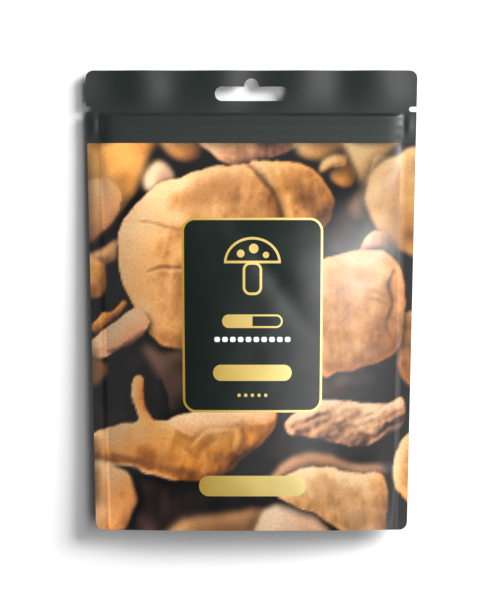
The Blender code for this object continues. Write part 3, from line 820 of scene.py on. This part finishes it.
def back_laminate():
    """The same laminate, printed plain: dark film with a gold line round a bare panel."""
    material, tree, shader = new_material("plain matte PET and foil laminate")
    place = flat_film_place(tree)
    film_skin(tree, shader, place)
    panel, gold = outline_ink(tree, place, BACK_PANEL_CENTRE, BACK_PANEL_SIZE, LABEL_RADIUS, GOLD_LINE)
    cloud = noise(tree, place, 1 / 60)
    tone = mixed(tree, cloud, linear("#242a27"), linear("#2c322f"))
    colour = mixed(tree, gold, mixed(tree, panel, tone, linear(LABEL_TONE)), linear(GOLD_TONE))
    tree.links.new(colour, shader.inputs["Base Color"])
    tree.links.new(maths(tree, "MULTIPLY", gold, GOLD_METALLIC), shader.inputs["Metallic"])
    return material


def gusset_laminate():
    """The same laminate again, all dark."""
    material, tree, shader = new_material("dark matte PET and foil laminate")
    place = flat_film_place(tree)
    film_skin(tree, shader, place)
    cloud = noise(tree, place, 1 / 25)
    tree.links.new(mixed(tree, cloud, linear("#1f2422"), linear("#2a302d")), shader.inputs["Base Color"])
    return material


def zip_polyethylene():
    """Extruded natural polyethylene: milky, waxy, with faint lines along its length."""
    material, tree, shader = new_material("extruded milky polyethylene")
    where = node(tree, "ShaderNodeTexCoord").node.outputs["Object"]
    drawn = vector(tree, "MULTIPLY", where, (20, 2500, 2500))
    lines = noise(tree, drawn, 1.0)
    tree.links.new(mixed(tree, lines, linear("#dcdedd"), linear("#e9ebea")), shader.inputs["Base Color"])
    shader.inputs["Roughness"].default_value = 0.38
    shader.inputs["IOR"].default_value = 1.51
    shader.inputs["Subsurface Weight"].default_value = 0.2
    shader.inputs["Subsurface Radius"].default_value = (0.001, 0.001, 0.001)
    return material


def hypromellose(name, tone):
    """Hard capsule shell: thin, clear and glossy, with the fine tan powder showing through."""
    material, tree, shader = new_material(name)
    where = node(tree, "ShaderNodeTexCoord").node.outputs["Object"]
    grains = noise(tree, where, 1 / (0.5 * MM), 4.0)
    powder = mixed(tree, grains, linear("#8f6a42"), linear(tone))
    tree.links.new(powder, shader.inputs["Base Color"])
    shader.inputs["Roughness"].default_value = 0.22
    shader.inputs["IOR"].default_value = 1.48
    shader.inputs["Coat Weight"].default_value = 0.6
    shader.inputs["Coat Roughness"].default_value = 0.08
    return material


def white_paper():
    """Matte white paper under the pouch, without any gloss."""
    material, tree, shader = new_material("white paper sweep")
    shader.inputs["Base Color"].default_value = (0.93, 0.93, 0.93, 1.0)
    shader.inputs["Roughness"].default_value = 0.9
    shader.inputs["Specular IOR Level"].default_value = 0.0
    return material


# ---------------------------------------------------------------- making pieces


def only(*objects):
    """Selects these objects alone and makes the first one active."""
    bpy.ops.object.select_all(action="DESELECT")
    for obj in objects:
        obj.select_set(True)
    if objects:
        bpy.context.view_layer.objects.active = objects[0]


def mesh_object(name, points, edges, faces):
    """A new object, linked to the scene, with a mesh of these points, edges and faces."""
    mesh = bpy.data.meshes.new(name)
    mesh.from_pydata(points, edges, faces)
    obj = bpy.data.objects.new(name, mesh)
    bpy.context.scene.collection.objects.link(obj)
    return obj


def apply_modifiers(obj):
    """Makes an object's modifiers part of its mesh."""
    only(obj)
    for modifier in list(obj.modifiers):
        bpy.ops.object.modifier_apply(modifier=modifier.name)


def smooth_shade(obj):
    """Smooth shading, with edges sharper than SMOOTH_ANGLE left sharp."""
    only(obj)
    bpy.ops.object.shade_smooth_by_angle(angle=SMOOTH_ANGLE)


def film_rows(spacing):
    """Y places of a film's rows of points, closer together round the corners."""
    middle = HALF_LENGTH - CORNER_RADIUS
    inner = np.linspace(-middle, middle, round(2 * middle / spacing))[1:-1]
    return np.concatenate((-HALF_LENGTH + CORNER_ROWS, inner, HALF_LENGTH - CORNER_ROWS[::-1]))


def film(name, rows, columns, points, outward):
    """A sheet of film through rows of points, FILM thick: upward for 1, downward for -1, both ways for 0."""
    only()
    bpy.ops.mesh.primitive_grid_add(x_subdivisions=columns - 1, y_subdivisions=rows - 1, size=2)
    obj = bpy.context.object
    obj.name = obj.data.name = name
    obj.data.vertices.foreach_set("co", points.ravel())
    if outward < 0:
        obj.data.flip_normals()
    obj.data.update()
    solid = obj.modifiers.new("film thickness", "SOLIDIFY")
    solid.thickness = FILM
    solid.offset = abs(outward)
    apply_modifiers(obj)
    return obj


def laid_film(name, surface, spacing, outward):
    """A sheet of film as wide as the pouch, laid over surface(x, y) and FILM thick on its outer side."""
    rows = film_rows(spacing)
    columns = np.linspace(-1, 1, round(HEADER_WIDTH / spacing) + 1)
    y = np.repeat(rows, len(columns))
    x = np.tile(columns, len(rows)) * half_width(y)
    return film(name, len(rows), len(columns), np.column_stack((x, y, surface(x, y))), outward)


def arc(centre, radius, start, end, steps):
    """Points along part of a circle, from start to end degrees."""
    angles = np.radians(np.linspace(start, end, steps + 1))
    return [(centre[0] + radius * math.cos(a), centre[1] + radius * math.sin(a)) for a in angles]


def slot_outline():
    """The hanging slot: a bar with round ends and a round bump in the middle of its upper edge."""
    y = HALF_LENGTH - SLOT_BELOW_TOP
    end_radius = SLOT_HEIGHT / 2
    end_x = SLOT_WIDTH / 2 - end_radius
    bump_y = HALF_LENGTH - SLOT_BUMP_CENTRE
    meets = math.degrees(math.asin((y + end_radius - bump_y) / SLOT_BUMP_RADIUS))
    right = arc((end_x, y), end_radius, -90, 90, 20)
    bump = arc((0, bump_y), SLOT_BUMP_RADIUS, meets, 180 - meets, 24)
    left = arc((-end_x, y), end_radius, 90, 270, 20)
    return right + bump + left


def notch_outline(side):
    """A tear notch with a round inner end, cut in from one side of the header."""
    y = HALF_LENGTH - NOTCH_BELOW_TOP
    radius = NOTCH_HEIGHT / 2
    edge = float(half_width(y))
    inner = (edge - NOTCH_DEPTH + radius, y)
    points = [(edge + radius, y + radius)] + arc(inner, radius, 90, 270, 16) + [(edge + radius, y - radius)]
    return points if side > 0 else [(-x, y) for x, y in reversed(points)]


def punch(obj, outlines):
    """Cuts outlines out of a film, right through."""
    for outline in outlines:
        count = len(outline)
        low = [(x, y, SEAM_AT_HEADER - PUNCH_REACH) for x, y in outline]
        high = [(x, y, SEAM_AT_HEADER + PUNCH_REACH) for x, y in outline]
        walls = [(i, (i + 1) % count, count + (i + 1) % count, count + i) for i in range(count)]
        ends = [tuple(range(count))[::-1], tuple(range(count, 2 * count))]
        cutter = mesh_object("punch", low + high, [], walls + ends)
        boolean = obj.modifiers.new("punch", "BOOLEAN")
        boolean.operation = "DIFFERENCE"
        boolean.solver = "EXACT"
        boolean.object = cutter
        apply_modifiers(obj)
        bpy.data.objects.remove(cutter)


def flat_place(obj):
    """Where each point of a film was while flat, in mm: u across from the middle, v up from the bottom."""
    co = np.empty(len(obj.data.vertices) * 3, np.float32)
    obj.data.vertices.foreach_get("co", co)
    co = co.reshape(-1, 3)
    u = co[:, 0] / straight_half_width(co[:, 1]) * HEADER_WIDTH / 2 / MM
    return u, (co[:, 1] + HALF_LENGTH) / MM


def lay_out_print(obj):
    """Gives a film its UV map: its flat place, with FLAT_SPAN mm to one unit of the map."""
    u, v = flat_place(obj)
    loops = np.empty(len(obj.data.loops), np.int32)
    obj.data.loops.foreach_get("vertex_index", loops)
    flat = np.column_stack((u / FLAT_SPAN + 0.5, v / FLAT_SPAN))[loops]
    layer = obj.data.uv_layers.get("flat film") or obj.data.uv_layers.new(name="flat film")
    layer.uv.foreach_set("vector", flat.ravel())
    obj.data.uv_layers.active = layer


def finish_piece(obj, material, slot, *nodes):
    """Gives a piece its material and smooth shading, puts it under the root body and hides the CAD nodes it
    replaces. slot is not used.
    """
    obj.data.materials.clear()
    obj.data.materials.append(material)
    smooth_shade(obj)
    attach(obj, "root")
    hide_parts(*nodes)
    return obj


def front_panel():
    """The printed front film, with the picture, its painted light and painted shade included, as a colour at
    each point.
    """
    obj = laid_film("front_film", front_surface, FRONT_SPACING, 1)
    punch(obj, [slot_outline(), notch_outline(1), notch_outline(-1)])
    lay_out_print(obj)
    picture = paint_mushrooms()
    u, v = flat_place(obj)
    colours = obj.data.color_attributes.new("printed picture with painted light", "FLOAT_COLOR", "POINT")
    colours.data.foreach_set("color", picture.colours_at(u, v).ravel())
    return finish_piece(obj, printed_laminate(), "printed_film", "front_panel")


def back_panel():
    """The plain back film."""
    obj = laid_film("back_film", back_surface, BACK_SPACING, -1)
    punch(obj, [slot_outline(), notch_outline(1), notch_outline(-1)])
    lay_out_print(obj)
    return finish_piece(obj, back_laminate(), "dark_film", "back_panel")


def gusset_sheet():
    """The bottom gusset: sealed to the bottom edges of front and back, and folded in between them."""
    clear = SEAL_GAP + FILM / 2
    depths = np.concatenate((CORNER_ROWS, np.linspace(5 * MM, GUSSET_DEPTH, 18)))
    shares = np.linspace(-1, 1, 97)
    fold = [(GUSSET_FOLD_Y + GUSSET_FOLD_RADIUS * math.sin(turn), math.cos(turn))
            for turn in np.radians([30, 60, 90, 120, 150])]
    front_rows = [(-HALF_LENGTH + depth, 1.0) for depth in depths]
    back_rows = [(-HALF_LENGTH + depth, -1.0) for depth in depths[::-1]]
    lines = front_rows + fold + back_rows
    points = []
    for y, side in lines:
        x = shares * half_width(min(y, GUSSET_FOLD_Y))
        front, back = front_inside(x, y) + front_dents(x, y), back_inside(x, y)
        sealed = front - clear if side > 0 else back + clear
        folded = (front + back) / 2 + side * GUSSET_FOLD_RADIUS
        blend = smooth(-HALF_LENGTH + BOTTOM_SEAL, GUSSET_FOLD_Y + GUSSET_EASE, y)
        free = blend * (1 - blend) * 4
        waves = GUSSET_WAVE * layered_noise(x / (22 * MM), y / (30 * MM) + side * 3, 17, 2) * free
        points.append(np.column_stack((x, np.full_like(x, y), sealed + (folded - sealed) * blend + waves)))
    obj = film("gusset_film", len(lines), len(shares), np.vstack(points), 0)
    lay_out_print(obj)
    return finish_piece(obj, gusset_laminate(), "dark_film", "bottom_gusset")


def zip_strips():
    """The zip's two halves keep their CAD shape and get their plastic."""
    plastic = zip_polyethylene()
    for name in ("zip_rib_strip", "zip_groove_strip"):
        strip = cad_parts[name]
        strip.data.materials.clear()
        strip.data.materials.append(plastic)


def turned(name, profile):
    """A body turned about X from (x, radius) points in mm."""
    edges = [(i, i + 1) for i in range(len(profile) - 1)]
    obj = mesh_object(name, [(x * MM, 0.0, r * MM) for x, r in profile], edges, [])
    only(obj)
    bpy.ops.object.mode_set(mode="EDIT")
    bpy.ops.mesh.select_all(action="SELECT")
    bpy.ops.mesh.spin(steps=CAPSULE_SIDES, angle=2 * math.pi, center=(0, 0, 0), axis=(1, 0, 0))
    bpy.ops.mesh.select_all(action="SELECT")
    bpy.ops.mesh.remove_doubles(threshold=0.01 * MM)
    bpy.ops.mesh.normals_make_consistent(inside=False)
    bpy.ops.object.mode_set(mode="OBJECT")
    return obj


def row_places(name):
    """The left end of each capsule of one CAD row."""
    low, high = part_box(name)
    count = round((high.x - low.x) / CAPSULE_LENGTH)
    return [(low.x + n * CAPSULE_LENGTH, (low.y + high.y) / 2, (low.z + high.z) / 2) for n in range(count)]


def repeat(obj, places):
    """Copies a mesh to each place, in one piece."""
    mesh = obj.data
    co = np.empty(len(mesh.vertices) * 3, np.float32)
    mesh.vertices.foreach_get("co", co)
    co = co.reshape(-1, 3)
    faces = [tuple(polygon.vertices) for polygon in mesh.polygons]
    points = np.vstack([co + np.array(place) for place in places])
    copies = [tuple(n * len(co) + i for i in face) for n in range(len(places)) for face in faces]
    joined = bpy.data.meshes.new(mesh.name)
    joined.from_pydata(points.tolist(), [], copies)
    obj.data = joined


def capsules():
    """120 hard capsules where the CAD rows lie: each a body with a slightly wider cap pushed over its end."""
    body = turned("capsule_body", CAPSULE_BODY)
    cap = turned("capsule_cap", CAPSULE_CAP)
    rows = sorted(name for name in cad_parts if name.startswith("capsule_row_"))
    places = [place for name in rows for place in row_places(name)]
    for obj, material, tone in ((body, "clear capsule body with powder", "#b08a58"),
                                (cap, "tan capsule cap", "#c9a876")):
        repeat(obj, places)
        finish_piece(obj, hypromellose(material, tone), "capsule_shell", *rows)


# ---------------------------------------------------------------- floor, light and camera


def area_light(name, place, size, power):
    """A white rectangular light that shines at the middle of the pouch."""
    light = bpy.data.lights.new(name, "AREA")
    light.shape = "RECTANGLE"
    light.size, light.size_y = size
    light.energy = power
    obj = bpy.data.objects.new(name, light)
    obj.location = place
    obj.rotation_euler = (-Vector(place)).to_track_quat("-Z", "Y").to_euler()
    bpy.context.scene.collection.objects.link(obj)


def studio():
    """The paper floor, a dim even world, and a key, a sheen and a fill light."""
    only()
    bpy.ops.mesh.primitive_plane_add(size=FLOOR_SIZE)
    floor = bpy.context.object
    floor.name = "floor"
    floor.data.materials.append(white_paper())
    world = bpy.data.worlds.new("studio")
    world.use_nodes = True
    world.node_tree.nodes["Background"].inputs["Color"].default_value = (1.0, 1.0, 1.0, 1.0)
    world.node_tree.nodes["Background"].inputs["Strength"].default_value = WORLD_LIGHT
    bpy.context.scene.world = world
    area_light("key", KEY_PLACE, KEY_SIZE, KEY_POWER)
    area_light("sheen", SHEEN_PLACE, SHEEN_SIZE, SHEEN_POWER)
    area_light("fill", FILL_PLACE, FILL_SIZE, FILL_POWER)


def camera():
    """Looks straight down, with VIEW_HEIGHT from the upper to the lower edge of the view at the seams."""
    data = bpy.data.cameras.new("camera")
    data.sensor_width = 36.0
    data.lens = data.sensor_width * (CAMERA_HEIGHT - SEAM_HEIGHT_SEEN) / VIEW_HEIGHT
    obj = bpy.data.objects.new("camera", data)
    obj.location = (*CAMERA_ASIDE, CAMERA_HEIGHT)
    bpy.context.scene.collection.objects.link(obj)
    bpy.context.scene.camera = obj


def main():
    bpy.context.scene.view_settings.view_transform = "Standard"
    front_panel()
    back_panel()
    gusset_sheet()
    zip_strips()
    capsules()
    studio()
    camera()


main()
